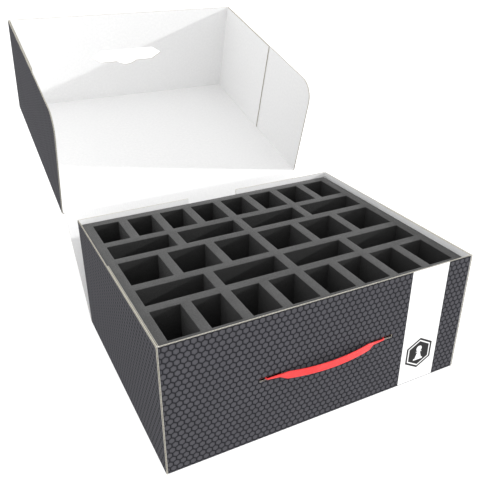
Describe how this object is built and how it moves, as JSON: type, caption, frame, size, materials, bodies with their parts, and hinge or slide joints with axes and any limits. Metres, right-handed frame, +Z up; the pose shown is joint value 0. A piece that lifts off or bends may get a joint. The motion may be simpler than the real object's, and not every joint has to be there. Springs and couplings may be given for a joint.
{
  "type": "miniature carry case",
  "caption": "Folding corrugated carry case with a hinged tray lid, a strap handle and stacked foam trays cut with compartments for miniatures.",
  "frame": {"origin": "middle of the underside of the base", "axes": "+X to the right seen from the front, +Y towards the back, where the lid is hinged, +Z up; the front wall with the strap faces -Y"},
  "size_m": [0.3596, 0.6488, 0.3388],
  "materials": {
    "printed_board": "satin dark honeycomb print outside, white liner inside",
    "white_board": "matte white liner",
    "strap": "satin moulded plastic",
    "foam": "open-cell foam, matte"
  },
  "bodies": {
    "base": {"bottom_panel": "printed_board", "front_wall": "printed_board", "left_wall": "printed_board", "right_wall": "printed_board", "front_flap_left": "white_board", "front_flap_right": "white_board", "rear_flap_left": "white_board", "rear_flap_right": "white_board"},
    "back": {"back_panel": "printed_board"},
    "lid": {"lid_top": "printed_board", "lid_front_flap": "printed_board", "lid_side_flap_left": "printed_board", "lid_side_flap_right": "printed_board", "lid_corner_flap_left": "white_board", "lid_corner_flap_right": "white_board"},
    "handle": {"handle_strap": "strap"},
    "bottom_tray": {"bottom_tray_grid": "foam", "bottom_tray_floor": "foam"},
    "middle_tray": {"middle_tray_grid": "foam", "middle_tray_floor": "foam"},
    "top_tray": {"top_tray_grid": "foam", "top_tray_floor": "foam"}
  },
  "joints": [
    {"name": "back_hinge", "type": "hinge", "parent": "base", "child": "back", "pos_m": [0, 0.14075, 0.00075], "axis": [-1, 0, 0], "range_deg": [-36, 20]},
    {"name": "lid_hinge", "type": "hinge", "parent": "back", "child": "lid", "pos_m": [0, 0.22751, 0.12016], "axis": [-1, 0, 0], "range_deg": [-127.5, 10]},
    {"name": "handle_swing", "type": "hinge", "parent": "base", "child": "handle", "pos_m": [0, -0.1371, 0.0755], "axis": [-1, 0, 0], "range_deg": [-8, 20]},
    {"name": "bottom_tray_lift", "type": "slide", "parent": "base", "child": "bottom_tray", "axis": [0, 0, 1], "range_m": [0, 0.15]},
    {"name": "middle_tray_lift", "type": "slide", "parent": "bottom_tray", "child": "middle_tray", "axis": [0, 0, 1], "range_m": [0, 0.105]},
    {"name": "top_tray_lift", "type": "slide", "parent": "middle_tray", "child": "top_tray", "axis": [0, 0, 1], "range_m": [0, 0.06]}
  ]
}
